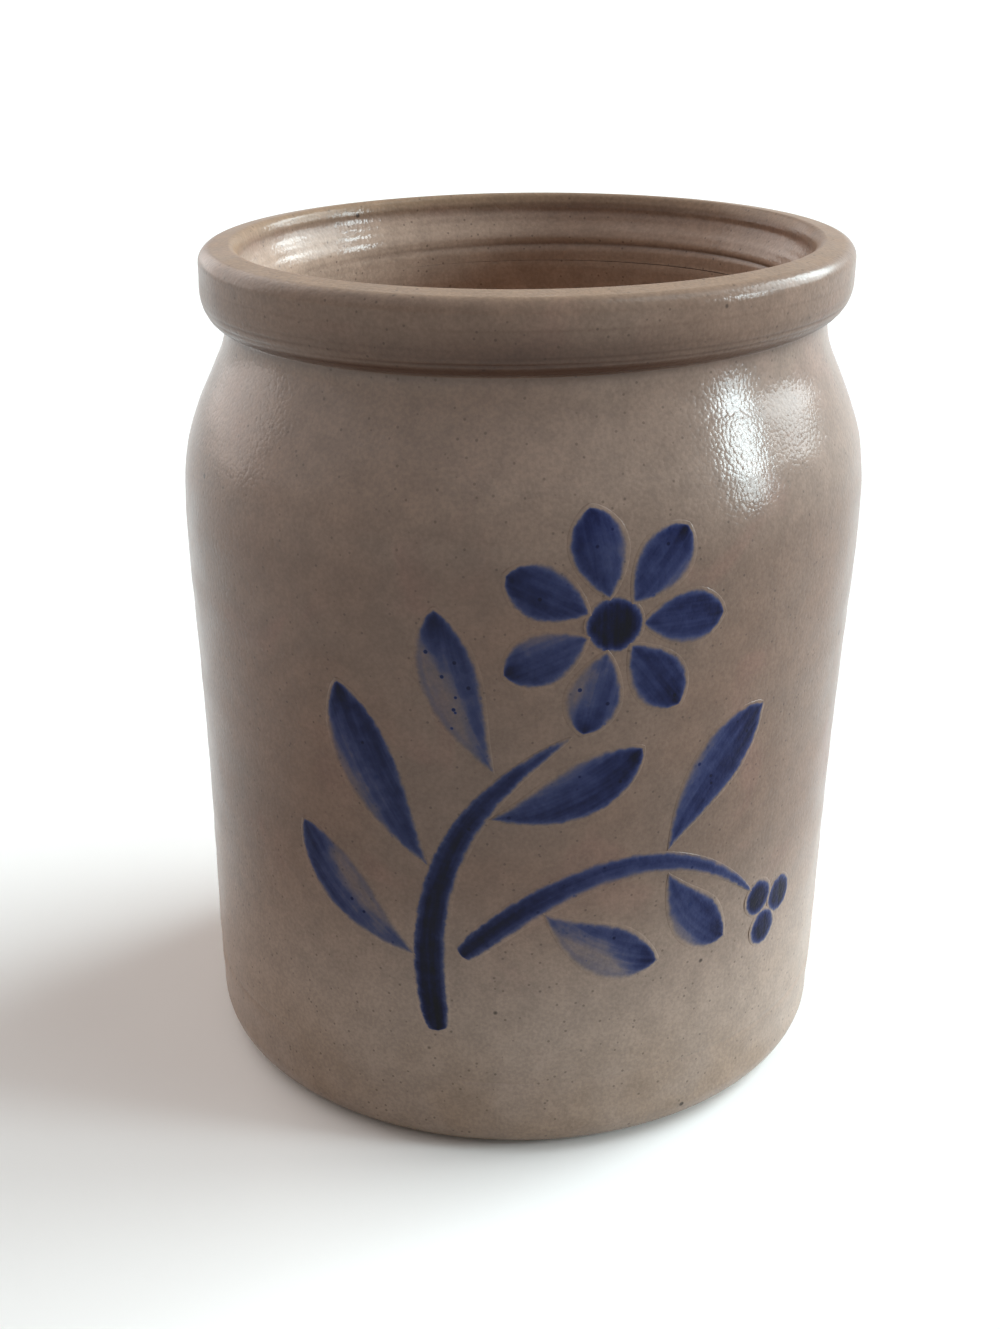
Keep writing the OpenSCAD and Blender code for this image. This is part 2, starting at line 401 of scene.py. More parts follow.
def spray_strokes():
    """Every stroke of the spray under its node's name."""
    stem = [laid(s) for s in STEM_SHARES]
    twig = [laid(s) for s in TWIG_SHARES]
    draw = np.random.default_rng(11)
    lined = {"swell": 0.45, "blunt": 0.5}
    leafy = {"swell": 1.4, "blunt": 0.68, "start": 0.2, "end": 0.65}
    petalled = {"swell": 1.25, "blunt": 0.6, "start": 0.15, "end": 0.6, "heavy": 0.3}
    strokes = {
        "stem": Stroke(stem, STEM_W, load=0.62, start=0.6, end=-0.42, heavy=0.25, **lined),
        "twig": Stroke(twig, TWIG_W, load=0.20, start=0.8, end=0.35, heavy=0.3, **lined),
    }
    leaves = [leaf_line(leaf, stem, STEM_W) for leaf in STEM_LEAVES]
    leaves += [leaf_line(leaf, twig, TWIG_W) for leaf in TWIG_LEAVES]
    for i, (line, leaf) in enumerate(zip(leaves, STEM_LEAVES + TWIG_LEAVES)):
        load = draw.uniform(*LEAF_LOADS)
        heavy = draw.choice(LEAF_HEAVY)
        strokes[f"leaf_{i + 1}"] = Stroke(line, LEAF_W * leaf[3], load=load, heavy=heavy, **leafy)
    for i in range(PETAL_COUNT):
        load = draw.uniform(*PETAL_LOADS)
        strokes[f"petal_{i + 1}"] = Stroke(petal_line(i), PETAL_W, load=load, **petalled)
    strokes["blossom_eye"] = Dot(laid(BLOSSOM_SHARE), EYE_D, 0.85)
    for i in range(BERRY_COUNT):
        strokes[f"berry_{i + 1}"] = Dot(berry_place(i, twig), BERRY_D, draw.uniform(*BERRY_LOADS))
    return strokes


# Trees of Geometry Nodes, and plain meshes out of them.
# Known fault: the faces of every mesh made here point into the clay or the slip, not out of it.

MERGE = 0.001
FRONT_HALF = math.radians(80)
FRONT_STEP = math.radians(0.68)
BACK_STEP = math.radians(2.1)
SHARP_ANGLE = math.radians(50)
# The slip: margin of bare clay round it, offsets of the lens's upper half, its rim and its lower
# half along the wall's normals, and how the upper half's grows from the edge. The normals point
# into the clay, so the lens lies the wrong way round: its lower half stands SLIP_SUNK less
# SLIP_RIM out of the wall, and its upper half is sunk by SLIP_H.
SLIP_MARGIN = 0.7
SLIP_H = 0.06
SLIP_RIM = 0.003
SLIP_SUNK = 0.15
SLIP_RISE_START = 0.5
SLIP_RISE_END = 2.8
LENS_POINTS = 40
LENS_EDGE = -0.001
RAY_REACH = 1.3
POINTS_PER_MM = 2.4
LEAST_POINTS = 40
GRAIN_STEP = 20.0
# Values that the trees keep on the points and the finished meshes don't need
OUTLINE_VALUES = ("line_r", "line_z", "side", "out_r", "out_z")
HELPERS = OUTLINE_VALUES + (
    "column", "turn", "middle", "way", "share", "half", "section", "flat",
)


def start_tree(name, sockets):
    """An empty tree with named inputs. Gives the tree, its inputs and their identifiers."""
    tree = bpy.data.node_groups.new(name, "GeometryNodeTree")
    face = tree.interface
    face.new_socket("Geometry", in_out="OUTPUT", socket_type="NodeSocketGeometry")
    face.new_socket("Geometry", in_out="INPUT", socket_type="NodeSocketGeometry")
    keys = {}
    for label, kind in sockets.items():
        socket = face.new_socket(label, in_out="INPUT", socket_type="NodeSocket" + kind)
        keys[label] = socket.identifier
    return tree, node(tree, "NodeGroupInput").outputs, keys


def end_tree(tree, shape, material):
    """Realize Instances, Set Material and the way out."""
    shape = node(tree, "GeometryNodeRealizeInstances", {"Geometry": shape}).outputs[0]
    inputs = {"Geometry": shape, "Material": material}
    shape = node(tree, "GeometryNodeSetMaterial", inputs).outputs[0]
    tree.links.new(shape, node(tree, "NodeGroupOutput").inputs[0])


def store(tree, shape, name, value, kind="FLOAT"):
    """Keeps a value on each point under a name."""
    inputs = {"Geometry": shape, "Name": name, "Value": value}
    made = node(tree, "GeometryNodeStoreNamedAttribute", inputs, data_type=kind, domain="POINT")
    return made.outputs[0]


def named(tree, name, kind="FLOAT"):
    return node(tree, "GeometryNodeInputNamedAttribute", {"Name": name}, data_type=kind).outputs[0]


def vector_calc(tree, operation, a, b):
    return node(tree, "ShaderNodeVectorMath", {0: a, 1: b}, operation=operation).outputs[0]


def scaled(tree, vector, amount):
    return node(tree, "ShaderNodeVectorMath", {0: vector, "Scale": amount}, operation="SCALE").outputs[0]


def merged(tree, shape):
    """Joins points that lie in one place, at a stroke's tips or on the axis."""
    inputs = {"Geometry": shape, "Distance": MERGE * MM}
    return node(tree, "GeometryNodeMergeByDistance", inputs).outputs[0]


def on_ring(tree, turn):
    """Unit vector out from the axis at an angle from the front towards +X."""
    x = calc(tree, "SINE", turn)
    y = calc(tree, "MULTIPLY", calc(tree, "COSINE", turn), -1.0)
    return node(tree, "ShaderNodeCombineXYZ", {0: x, 1: y}).outputs[0]


def turning_tree():
    """Turns an outline round the axis, with its columns closer together over the front."""
    tree, given, keys = start_tree("turning", {
        "Columns": "Int",
        "Front Columns": "Int",
        "Front Step": "Float",
        "Back Step": "Float",
        "Clay": "Material",
    })
    ring = node(tree, "GeometryNodeCurvePrimitiveCircle", {"Resolution": given["Columns"]}).outputs[0]
    ring = store(tree, ring, "column", node(tree, "GeometryNodeInputIndex").outputs[0])
    outline = node(tree, "GeometryNodeMeshToCurve", {"Mesh": given["Geometry"]}).outputs[0]
    curves = {"Curve": ring, "Profile Curve": outline}
    body = node(tree, "GeometryNodeCurveToMesh", curves).outputs[0]
    column = named(tree, "column")
    front = calc(tree, "MINIMUM", column, given["Front Columns"])
    back = calc(tree, "MULTIPLY", calc(tree, "SUBTRACT", column, front), given["Back Step"])
    front = calc(tree, "SUBTRACT", front, calc(tree, "MULTIPLY", given["Front Columns"], 0.5))
    turn = calc(tree, "ADD", calc(tree, "MULTIPLY", front, given["Front Step"]), back)
    body = store(tree, body, "turn", turn)
    turn = named(tree, "turn")
    across = scaled(tree, on_ring(tree, turn), calc(tree, "MULTIPLY", named(tree, "line_r"), MM))
    high = calc(tree, "MULTIPLY", named(tree, "line_z"), MM)
    high = node(tree, "ShaderNodeCombineXYZ", {2: high}).outputs[0]
    place = vector_calc(tree, "ADD", across, high)
    body = node(tree, "GeometryNodeSetPosition", {"Geometry": body, "Position": place}).outputs[0]
    body = merged(tree, body)
    end_tree(tree, body, given["Clay"])
    return tree, keys


BRUSH_SOCKETS = {
    "Wall": "Object",
    "Start": "Vector",
    "Bend": "Vector",
    "Tip": "Vector",
    "Width": "Float",
    "Swell": "Float",
    "Blunt": "Float",
    "Points": "Int",
    "Turn": "Float",
    "Height": "Float",
    "Belly Radius": "Float",
    "Thickness": "Float",
    "Slip": "Material",
}


def bent_line(tree, given, position):
    """The stroke's middle line, with its place, its way and its half width on each point."""
    ends = {"Start": given["Start"], "End": given["Tip"]}
    line = node(tree, "GeometryNodeCurvePrimitiveLine", ends).outputs[0]
    points = {"Curve": line, "Count": given["Points"]}
    line = node(tree, "GeometryNodeResampleCurve", points).outputs[0]
    factor = node(tree, "GeometryNodeSplineParameter").outputs["Factor"]
    crowded = calc(tree, "COSINE", calc(tree, "MULTIPLY", factor, math.pi))
    crowded = calc(tree, "MULTIPLY", crowded, -0.5)
    line = store(tree, line, "share", calc(tree, "ADD", crowded, 0.5))
    t = named(tree, "share")
    rest = calc(tree, "SUBTRACT", 1.0, t)
    bent = scaled(tree, given["Start"], calc(tree, "MULTIPLY", rest, rest))
    pull = calc(tree, "MULTIPLY", calc(tree, "MULTIPLY", t, rest), 2.0)
    bent = vector_calc(tree, "ADD", bent, scaled(tree, given["Bend"], pull))
    bent = vector_calc(tree, "ADD", bent, scaled(tree, given["Tip"], calc(tree, "MULTIPLY", t, t)))
    line = node(tree, "GeometryNodeSetPosition", {"Geometry": line, "Position": bent}).outputs[0]
    tangent = node(tree, "GeometryNodeInputTangent").outputs[0]
    line = store(tree, line, "middle", position, "FLOAT_VECTOR")
    line = store(tree, line, "way", tangent, "FLOAT_VECTOR")
    bulge = calc(tree, "MULTIPLY", calc(tree, "POWER", t, given["Swell"]), math.pi)
    bulge = calc(tree, "MAXIMUM", calc(tree, "SINE", bulge), 0.0)
    bulge = calc(tree, "POWER", bulge, given["Blunt"])
    most = calc(tree, "MULTIPLY", given["Width"], 0.5)
    return store(tree, line, "half", calc(tree, "MULTIPLY", bulge, most))


def parts(tree, vector):
    return node(tree, "ShaderNodeSeparateXYZ", {0: vector}).outputs


def laid_flat(tree, section, half):
    """Where a point of the lens lies across and up, before it goes on the wall."""
    ahead = parts(tree, named(tree, "way", "FLOAT_VECTOR"))
    left = calc(tree, "MULTIPLY", ahead[1], -1.0)
    square = node(tree, "ShaderNodeCombineXYZ", {0: left, 1: ahead[0]}).outputs[0]
    aside = scaled(tree, square, calc(tree, "MULTIPLY", section[0], half))
    return vector_calc(tree, "ADD", named(tree, "middle", "FLOAT_VECTOR"), aside)


def wall_under(tree, given):
    """Where a ray from outside towards the axis meets the wall, and the wall's normal there."""
    flat = parts(tree, named(tree, "flat", "FLOAT_VECTOR"))
    turn = calc(tree, "ADD", calc(tree, "DIVIDE", flat[0], given["Belly Radius"]), given["Turn"])
    out = on_ring(tree, turn)
    reach = calc(tree, "MULTIPLY", given["Belly Radius"], RAY_REACH)
    high = calc(tree, "ADD", flat[1], given["Height"])
    high = node(tree, "ShaderNodeCombineXYZ", {2: high}).outputs[0]
    wall = node(tree, "GeometryNodeObjectInfo", {"Object": given["Wall"]}).outputs["Geometry"]
    return node(tree, "GeometryNodeRaycast", {
        "Target Geometry": wall,
        "Source Position": vector_calc(tree, "ADD", scaled(tree, out, reach), high),
        "Ray Direction": scaled(tree, out, -1.0),
        "Ray Length": reach,
    }).outputs


def lift_of(tree, given, section, half):
    """How far a point lies along the wall's normal: above 0 for the lens's upper half."""
    inside = calc(tree, "SUBTRACT", 1.0, calc(tree, "ABSOLUTE", section[0]))
    inside = calc(tree, "MULTIPLY", inside, half)
    rise_start, rise_end = SLIP_RISE_START * MM, SLIP_RISE_END * MM
    rise = fade(tree, inside, rise_start, rise_end, SLIP_RIM * MM, given["Thickness"])
    sunk = calc(tree, "ADD", calc(tree, "MULTIPLY", section[1], SLIP_SUNK * MM), SLIP_RIM * MM)
    top = calc(tree, "GREATER_THAN", section[1], LENS_EDGE)
    lift = calc(tree, "MULTIPLY", rise, top)
    bottom = calc(tree, "SUBTRACT", 1.0, top)
    return calc(tree, "ADD", lift, calc(tree, "MULTIPLY", sunk, bottom))


def brushing_tree():
    """One brush stroke: a lens of slip along a bent line, laid on the wall by rays."""
    tree, given, keys = start_tree("brushing", BRUSH_SOCKETS)
    position = node(tree, "GeometryNodeInputPosition").outputs[0]
    line = bent_line(tree, given, position)
    round_lens = {"Resolution": LENS_POINTS, "Radius": 1.0}
    lens = node(tree, "GeometryNodeCurvePrimitiveCircle", round_lens).outputs[0]
    lens = store(tree, lens, "section", position, "FLOAT_VECTOR")
    curves = {"Curve": line, "Profile Curve": lens}
    stroke = node(tree, "GeometryNodeCurveToMesh", curves).outputs[0]
    section = parts(tree, named(tree, "section", "FLOAT_VECTOR"))
    half = named(tree, "half")
    stroke = store(tree, stroke, "flat", laid_flat(tree, section, half), "FLOAT_VECTOR")
    ray = wall_under(tree, given)
    lifted = scaled(tree, ray["Hit Normal"], lift_of(tree, given, section, half))
    place = vector_calc(tree, "ADD", ray["Hit Position"], lifted)
    stroke = node(tree, "GeometryNodeSetPosition", {"Geometry": stroke, "Position": place}).outputs[0]
    stroke = merged(tree, stroke)
    end_tree(tree, stroke, given["Slip"])
    return tree, keys


def run_tree(made, start_mesh, values):
    """Runs a tree on a mesh and gives back the result as a plain mesh."""
    tree, keys = made
    carrier = bpy.data.objects.new("carrier", start_mesh)
    bpy.context.scene.collection.objects.link(carrier)
    modifier = carrier.modifiers.new(tree.name, "NODES")
    modifier.node_group = tree
    for label, value in values.items():
        modifier[keys[label]] = value
    graph = bpy.context.evaluated_depsgraph_get()
    evaluated = carrier.evaluated_get(graph)
    mesh = bpy.data.meshes.new_from_object(evaluated, preserve_all_data_layers=True, depsgraph=graph)
    carrier.modifiers.remove(modifier)
    bpy.data.objects.remove(carrier)
    return mesh


def write_mask(mesh, name, values):
    kind, field = ("FLOAT", "value") if values.ndim == 1 else ("FLOAT_VECTOR", "vector")
    layer = mesh.attributes.new(name, kind, "POINT")
    layer.data.foreach_set(field, values.astype(np.float32).ravel())


def read_mask(mesh, name, width=1):
    layer = mesh.attributes[name]
    values = np.empty(len(layer.data) * width, np.float32)
    layer.data.foreach_get("value" if width == 1 else "vector", values)
    return values.astype(float).reshape(-1, width).squeeze()


def finish_piece(name, mesh, masks):
    """Gives a piece smooth faces and its masks, and takes the trees' own values off it."""
    for name_of_layer in [layer.name for layer in mesh.attributes if layer.name in HELPERS]:
        mesh.attributes.remove(mesh.attributes[name_of_layer])
    for key, values in masks.items():
        write_mask(mesh, key, values)
    mesh.polygons.foreach_set("use_smooth", [True] * len(mesh.polygons))
    mesh.set_sharp_from_angle(angle=SHARP_ANGLE)
    mesh.update()
    mesh.name = name
    piece = bpy.data.objects.new(name, mesh)
    bpy.context.scene.collection.objects.link(piece)
    return piece


def outline_mesh(outline, closed):
    """The outline as a line of points, each with its own numbers."""
    count = len(outline)
    edges = [(i, i + 1) for i in range(count - 1)]
    if closed:
        edges.append((count - 1, 0))
    mesh = bpy.data.meshes.new("outline")
    mesh.from_pydata([(r * MM, z * MM, 0) for r, z, _ in outline], edges, [])
    square = outward(outline, closed)
    columns = np.column_stack([outline, square])
    for key, values in zip(OUTLINE_VALUES, columns.T):
        write_mask(mesh, key, values)
    return mesh


# Places of the marks that the colours follow, up from or down from the sizes named
LIP_H = 3.4
LIP_FADE = 2.8
LIP_EDGE = 0.4
LIP_OUTER = 2.6
LIP_OUTER_FADE = 2.0
LIP_OUTER_LOSS = 0.8
# Pooled glaze and painted shade in the crease, the rib's lines and the throat's groove: place, width and
# reach in the crease, and how dark the lines and the groove go
CREASE_UP = 0.4
CREASE_W = 1.3
CREASE_OUT = 3.0
LINE_DARK = 7
THROAT_DARK = 2.4
# Painted shade on the rolled band's lower part: where it starts over the crease, how high it stays full,
# how far it fades, how much is left at the back, and its width round the front
BAND_UP = 0.2
BAND_FULL = 3
BAND_FADE = 6.5
BAND_BACK = 0.12
BAND_FRONT_W = 0.55
# Painted light on the shoulder: where it starts, how far it fades in, and how much of it is taken off
# next to the crease
SHOULDER_Z = 106
SHOULDER_FADE = 16
SHOULDER_RIM_LOSS = 0.5
SHOULDER_RIM_FADE = 2
INSIDE_DOWN = 1.0
INSIDE_FADE = 5
BARE_FOOT_H = 3.0


def masks_of(r, z, side, angle):
    """Where the clay is dry, toasted or bare, dark with pooled glaze and painted shade, in painted shade
    on the rolled band, or lighter with painted light on the shoulder.
    """
    outside = side == OUTSIDE
    lip = ease((z - (POT_H - LIP_H)) / LIP_FADE, 1) * (r > MOUTH_R - LIP_EDGE)
    lip = lip * (1 - LIP_OUTER_LOSS * ease((r - (RIM_R - LIP_OUTER)) / LIP_OUTER_FADE, 1))
    # Painted shade on the rolled band, darkest at the front and little at the back
    front = BAND_BACK + (1 - BAND_BACK) * groove(2 * np.sin(angle / 2), 0, BAND_FRONT_W)
    # Pooled glaze and painted shade in the crease under the rolled band
    crease = groove(z, CREASE_Z + CREASE_UP, CREASE_W) * outside * (r < NECK_R + CREASE_OUT)
    crease = crease * (0.85 + 0.15 * np.sin(3 * angle + 1) * np.sin(7 * angle))
    lines = band_lines(z, angle) * LINE_DARK * outside
    throat = throat_line(z, angle) * THROAT_DARK * (side == INSIDE)
    band = 1 - ease((z - CREASE_Z - BAND_FULL) / BAND_FADE, 1)
    # Painted light on the shoulder, with less of it next to the crease
    shoulder = ease((z - SHOULDER_Z) / SHOULDER_FADE, 1)
    shoulder = shoulder - SHOULDER_RIM_LOSS * ease((z - CREASE_Z) / SHOULDER_RIM_FADE, 1)
    foot = outside * (1 - ease(z / BARE_FOOT_H, 1))
    return {
        "lip": lip,
        "outside": outside * 1.0,
        "band": front * outside * (z > CREASE_Z + BAND_UP) * band,
        "pool_and_shade": np.clip(crease + lines + throat, 0, 1),
        "shoulder": outside * shoulder,
        "inside": (side == INSIDE) * ease((POT_H - INSIDE_DOWN - z) / INSIDE_FADE, 1),
        "bare": np.maximum(side == UNDERSIDE, foot),
    }


def turn_piece(tree, name, outline, closed, material):
    """A turned piece with the marks of the hand on it."""
    front = round(2 * FRONT_HALF / FRONT_STEP)
    back = round((PI2 - 2 * FRONT_HALF) / BACK_STEP)
    mesh = run_tree(tree, outline_mesh(outline, closed), {
        "Columns": front + back,
        "Front Columns": front,
        "Front Step": 2 * FRONT_HALF / front,
        "Back Step": (PI2 - 2 * FRONT_HALF) / back,
        "Clay": material,
    })
    r, z, side, out_r, out_z = (read_mask(mesh, key) for key in OUTLINE_VALUES)
    angle = read_mask(mesh, "turn")
    side = np.round(side)
    amount = relief(r, z, angle, side)
    x, y, high = settle(r + out_r * amount, z + out_z * amount, angle)
    mesh.vertices.foreach_set("co", (np.column_stack([x, y, high]) * MM).ravel())
    return finish_piece("pot_" + name, mesh, masks_of(r, z, side, angle))


def brush_piece(tree, name, number, stroke, wall, material):
    """One stroke of slip on the wall, a little wider than its paint, with its load on it."""
    start, bend, tip = stroke.widened(SLIP_MARGIN)
    mesh = run_tree(tree, bpy.data.meshes.new("blank"), {
        "Wall": wall,
        "Start": (*start * MM, 0.0),
        "Bend": (*bend * MM, 0.0),
        "Tip": (*tip * MM, 0.0),
        "Width": (stroke.width + 2 * SLIP_MARGIN) * MM,
        "Swell": stroke.swell,
        "Blunt": stroke.blunt,
        "Points": max(LEAST_POINTS, round(POINTS_PER_MM * float(np.linalg.norm(tip - start)))),
        "Turn": SPRAY_TURN,
        "Height": SPRAY_Z * MM,
        "Belly Radius": BELLY_R * MM,
        "Thickness": SLIP_H * MM,
        "Slip": material,
    })
    flat = read_mask(mesh, "flat", 3)[:, :2] / MM
    depth, load, forward, across = stroke.read(flat)
    count = len(flat)
    grain = np.column_stack([forward, across, np.full(count, GRAIN_STEP * number)])
    z = flat[:, 1] + SPRAY_Z
    angle = flat[:, 0] / BELLY_R + SPRAY_TURN
    masks = masks_of(np.full(count, BELLY_R), z, np.full(count, OUTSIDE), angle)
    masks.update(slip_depth=depth, slip_load=load, slip_grain=grain)
    return finish_piece("slip_" + name, mesh, masks)


# Materials

def node(tree, kind, inputs=None, **settings):
    """A node whose inputs are given as values or as other nodes' outputs."""
    made = tree.nodes.new(kind)
    for key, value in settings.items():
        setattr(made, key, value)
    for key, value in (inputs or {}).items():
        if isinstance(value, bpy.types.NodeSocket):
            tree.links.new(value, made.inputs[key])
        else:
            made.inputs[key].default_value = value
    return made


def calc(tree, operation, a, b=0.0, clamp=False):
    return node(tree, "ShaderNodeMath", {0: a, 1: b}, operation=operation, use_clamp=clamp).outputs[0]


def fade(tree, value, low, high, first=0.0, last=1.0):
    """Goes smoothly from first to last as value goes from low to high."""
    inputs = {"Value": value, "From Min": low, "From Max": high, "To Min": first, "To Max": last}
    return node(tree, "ShaderNodeMapRange", inputs, interpolation_type="SMOOTHSTEP").outputs[0]


def blend(tree, share, a, b, kind="MIX"):
    """Colour b over colour a by share."""
    made = node(tree, "ShaderNodeMix", data_type="RGBA", blend_type=kind, clamp_result=False)
    for index, value in ((0, share), (6, a), (7, b)):
        if isinstance(value, bpy.types.NodeSocket):
            tree.links.new(value, made.inputs[index])
        else:
            made.inputs[index].default_value = value
    return made.outputs[2]


def cloud(tree, place, size, detail=2.0, rough=0.5, warp=0.0):
    """Noise whose blotches are about size millimetres across."""
    inputs = {"Vector": place, "Scale": 1 / (size * MM), "Detail": detail}
    inputs.update({"Roughness": rough, "Distortion": warp})
    return node(tree, "ShaderNodeTexNoise", inputs).outputs["Fac"]


def spots(tree, place, spacing, radius, chance):
    """Small round spots: 1 in a spot, which only some of the cells have."""
    cell = node(tree, "ShaderNodeTexVoronoi", {"Vector": place, "Scale": 1 / (spacing * MM)})
    near = fade(tree, cell.outputs["Distance"], radius / spacing * 0.5, radius / spacing, 1.0, 0.0)
    pick = node(tree, "ShaderNodeSeparateColor", {"Color": cell.outputs["Color"]}).outputs[0]
    return calc(tree, "MULTIPLY", near, calc(tree, "LESS_THAN", pick, chance))


def mask(tree, name, amount=1.0):
    """A mask kept on the piece, by an amount."""
    value = node(tree, "ShaderNodeAttribute", attribute_name=name).outputs["Fac"]
    return value if amount == 1.0 else calc(tree, "MULTIPLY", value, amount)


def start_material(name):
    made = bpy.data.materials.new(name)
    made.use_nodes = True
    made.node_tree.nodes.clear()
    return made, made.node_tree


# Colours, and how much of each lies over the clay where its mask is full
TAUPE = (0.168, 0.108, 0.081, 1.0)
WARM_CLAY = (0.176, 0.106, 0.076, 1.0)
BLUSH = (0.190, 0.104, 0.079, 1.0)
BLUSH_SHARE = 0.55
# Painted light: the inside is painted lighter than the outside clay, and paler still deep down, standing
# in for light that reaches into the hollow
INSIDE_LIGHTENED_CLAY = (0.380, 0.270, 0.208, 1.0)
DEEP_PAINTED_LIGHT_CLAY = (0.700, 0.510, 0.400, 1.0)
INSIDE_LIGHTENED_SHARE = 0.9
# Painted light: the wall is painted paler low down, for the light thrown up from the floor, and on the
# shoulder, for the light from above
PAINTED_LIGHT_CLAY = (0.375, 0.288, 0.238, 1.0)
LOW_PAINTED_LIGHT_SHARE = 0.75
SHOULDER_PAINTED_LIGHT_SHARE = 0.31
TOASTED = (0.265, 0.170, 0.105, 1.0)
TOASTED_FOOT_SHARE = 0.45
TOASTED_LIP_SHARE = 0.75
# Painted shade: the rolled band's lower part is painted dark, most at the front, where it lies in shade
BAND_PAINTED_SHADE = (0.082, 0.046, 0.033, 1.0)
BAND_PAINTED_SHADE_SHARE = 0.92
# Pooled glaze and painted shade: dark in the crease under the rolled band, in the rib's lines and in the
# throat's groove
POOLED_GLAZE_AND_SHADE = (0.062, 0.029, 0.019, 1.0)
POOLED_GLAZE_AND_SHADE_SHARE = 0.96
IRON = (0.030, 0.018, 0.014, 1.0)
FINE_IRON_SHARE = 0.45
LARGE_IRON_SHARE = 0.85
BARE_CLAY = (0.360, 0.262, 0.185, 1.0)
BARE_SHARE = 0.8
# Heights over which the colours fade
# Heights over which the inside's painted light grows paler downwards
DEEP_PAINTED_LIGHT_FADE = (118 * MM, 137 * MM)
# Heights over which the low wall's painted light fades out
LOW_PAINTED_LIGHT_FADE = (18 * MM, 60 * MM)
TOASTED_FADE = (4 * MM, 34 * MM)
DULL_FADE = (8 * MM, 45 * MM)
# Sizes of the blotches
CLAY_BLOTCH = 30
BLUSH_BLOTCH = 17
TOASTED_BLOTCH = 14
SHINE_BLOTCH = 9
MOTTLE_BLOTCH = 4.5
GRAIN_BLOTCH = 0.7
# The glaze's skin: spacing and heights of the orange peel, the swells and the fine lines
PEEL_SPACING = 0.68
PEEL_H = 0.032
SWELL_SIZE = 0.55
SWELL_H = 0.012
LINE_SIZE = 0.8
LINE_H = 0.006
# Cobalt: its colours, and the edge's places and loads of slip
WASH_BLUE = (0.055, 0.085, 0.200, 1.0)
WASH_SHARE = 0.75
WASH_THICKNESS = 1.3
COBALT_GLASS = (0.445, 0.503, 0.682, 1.0)
SLIP_DEPTH = 8.0
SLIP_COAT = 0.16
SLIP_COAT_THICKNESS = 1.5
SLIP_RAGGED = 0.17
SLIP_OUT = -0.5
HALO = 0.024
EDGE_LOAD = 0.08
SPECK_LOAD = 0.35
LEAST_LOAD = 0.03


def clay_colour(tree, place, high):
    """Mottled clay with iron specks, blushes, a toasted lip and foot, pooled glaze with painted shade,
    painted shade on the rolled band, and painted light inside, low on the wall and on the shoulder.
    """
    colour = blend(tree, fade(tree, cloud(tree, place, CLAY_BLOTCH), 0.35, 0.65), TAUPE, WARM_CLAY)
    blush = fade(tree, cloud(tree, place, BLUSH_BLOTCH, warp=0.6), 0.56, 0.72, 0.0, BLUSH_SHARE)
    colour = blend(tree, blush, colour, BLUSH)
    # Painted light inside: lighter near the mouth, paler still deep down
    inside = blend(tree, fade(tree, high, *DEEP_PAINTED_LIGHT_FADE, 1.0, 0.0), INSIDE_LIGHTENED_CLAY, DEEP_PAINTED_LIGHT_CLAY)
    colour = blend(tree, mask(tree, "inside", INSIDE_LIGHTENED_SHARE), colour, inside)
    # Painted light: paler low on the outside wall and on the shoulder
    pale = fade(tree, high, *LOW_PAINTED_LIGHT_FADE, LOW_PAINTED_LIGHT_SHARE, 0.0)
    pale = calc(tree, "MULTIPLY", pale, mask(tree, "outside"))
    colour = blend(tree, pale, colour, PAINTED_LIGHT_CLAY)
    colour = blend(tree, mask(tree, "shoulder", SHOULDER_PAINTED_LIGHT_SHARE), colour, PAINTED_LIGHT_CLAY)
    foot = fade(tree, high, *TOASTED_FADE, TOASTED_FOOT_SHARE, 0.0)
    uneven = fade(tree, cloud(tree, place, TOASTED_BLOTCH), 0.35, 0.65, 0.3, 1.0)
    toast = calc(tree, "MULTIPLY", foot, uneven)
    toast = calc(tree, "MAXIMUM", toast, mask(tree, "lip", TOASTED_LIP_SHARE))
    colour = blend(tree, toast, colour, TOASTED)
    # Painted shade on the rolled band
    colour = blend(tree, mask(tree, "band", BAND_PAINTED_SHADE_SHARE), colour, BAND_PAINTED_SHADE)
    mottle = fade(tree, cloud(tree, place, MOTTLE_BLOTCH, 3), 0.3, 0.7, 0.92, 1.08)
    grain = fade(tree, cloud(tree, place, GRAIN_BLOTCH, 3, 0.6), 0.3, 0.7, 0.90, 1.10)
    colour = blend(tree, 1.0, colour, calc(tree, "MULTIPLY", mottle, grain), "MULTIPLY")
    # Pooled glaze with painted shade in the crease and grooves
    colour = blend(tree, mask(tree, "pool_and_shade", POOLED_GLAZE_AND_SHADE_SHARE), colour, POOLED_GLAZE_AND_SHADE)
    fine = spots(tree, place, spacing=1.5, radius=0.30, chance=0.4)
    colour = blend(tree, calc(tree, "MULTIPLY", fine, FINE_IRON_SHARE), colour, IRON)
    large = spots(tree, place, spacing=9.0, radius=0.62, chance=0.55)
    colour = blend(tree, calc(tree, "MULTIPLY", large, LARGE_IRON_SHARE), colour, IRON)
    return blend(tree, mask(tree, "bare", BARE_SHARE), colour, BARE_CLAY)


